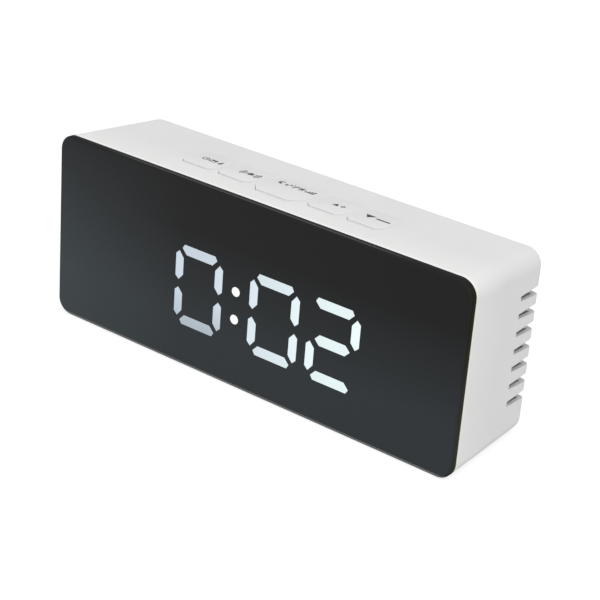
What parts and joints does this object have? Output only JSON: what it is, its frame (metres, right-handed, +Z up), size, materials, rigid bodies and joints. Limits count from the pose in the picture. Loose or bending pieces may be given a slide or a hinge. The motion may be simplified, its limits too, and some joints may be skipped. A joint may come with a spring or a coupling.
{
  "type": "digital desk clock",
  "caption": "Rectangular digital desk clock with a dark mirror front, raised top buttons, vented rear corners and a battery door.",
  "frame": {"origin": "centre of the base, on the surface that the clock stands on", "axes": "+Z up, the panel faces -Y, +X runs to the right of someone facing the panel"},
  "size_m": [0.142, 0.0374, 0.056],
  "materials": {
    "panel_black": "high gloss",
    "tape_black": "matt",
    "rim_white": "satin",
    "case_white": "satin",
    "key_white": "satin",
    "plunger_white": "satin",
    "film_black": "matt",
    "film_white": "matt",
    "reflector_white": "satin",
    "lens_white": "gloss",
    "led_yellow": "gloss",
    "board_green": "satin",
    "screw_steel": "bright",
    "chip_black": "matt",
    "crystal_steel": "bright",
    "capacitor_sleeve": "gloss",
    "thermistor_glass": "gloss",
    "switch_black": "satin",
    "contact_nickel": "bright",
    "cell_sleeve": "satin",
    "lead_black": "satin",
    "ribbon_grey": "satin"
  },
  "bodies": {
    "clock": {"alarm_buzzer": "switch_black", "battery_plates": "contact_nickel", "battery_springs": "contact_nickel", "board_screws": "screw_steel", "case_screws": "screw_steel", "chip_resistors": "chip_black", "clock_chip": "chip_black", "clock_crystal": "crystal_steel", "diffuser_film": "film_white", "display_board": "board_green", "front_frame": "rim_white", "jack_lead": "lead_black", "jack_pin": "contact_nickel", "key_board": "board_green", "key_board_screws": "screw_steel", "key_ribbon": "ribbon_grey", "led_chips": "led_yellow", "lower_cell": "cell_sleeve", "mask_film": "film_black", "middle_cell": "cell_sleeve", "mirror_panel": "panel_black", "panel_tape": "tape_black", "power_board": "board_green", "power_board_screws": "screw_steel", "power_jack": "switch_black", "rear_housing": "case_white", "segment_lenses": "lens_white", "segment_reflector": "reflector_white", "supply_capacitor": "capacitor_sleeve", "tact_switches": "switch_black", "thermistor": "thermistor_glass", "upper_cell": "cell_sleeve"},
    "mode_key": {"mode_button": "key_white", "mode_plunger": "plunger_white"},
    "alarm_key": {"alarm_button": "key_white", "alarm_plunger": "plunger_white"},
    "snooze_key": {"snooze_button": "key_white", "snooze_plunger": "plunger_white"},
    "up_key": {"up_button": "key_white", "up_plunger": "plunger_white"},
    "down_key": {"down_button": "key_white", "down_plunger": "plunger_white"},
    "door": {"battery_door": "case_white"}
  },
  "joints": [
    {"name": "mode_press", "type": "slide", "parent": "clock", "child": "mode_key", "axis": [0, -0.0631, -0.998], "range_m": [0, 0.0003], "stiffness_N_per_m": 3000},
    {"name": "alarm_press", "type": "slide", "parent": "clock", "child": "alarm_key", "axis": [0, -0.0631, -0.998], "range_m": [0, 0.0003], "stiffness_N_per_m": 3000},
    {"name": "snooze_press", "type": "slide", "parent": "clock", "child": "snooze_key", "axis": [0, -0.0631, -0.998], "range_m": [0, 0.0003], "stiffness_N_per_m": 3000},
    {"name": "up_press", "type": "slide", "parent": "clock", "child": "up_key", "axis": [0, -0.0631, -0.998], "range_m": [0, 0.0003], "stiffness_N_per_m": 3000},
    {"name": "down_press", "type": "slide", "parent": "clock", "child": "down_key", "axis": [0, -0.0631, -0.998], "range_m": [0, 0.0003], "stiffness_N_per_m": 3000},
    {"name": "battery_door_hinge", "type": "hinge", "parent": "clock", "child": "door", "pos_m": [-0.018, 0.0187, 0.00375], "axis": [-1, 0, 0], "range_deg": [0, 90]}
  ]
}
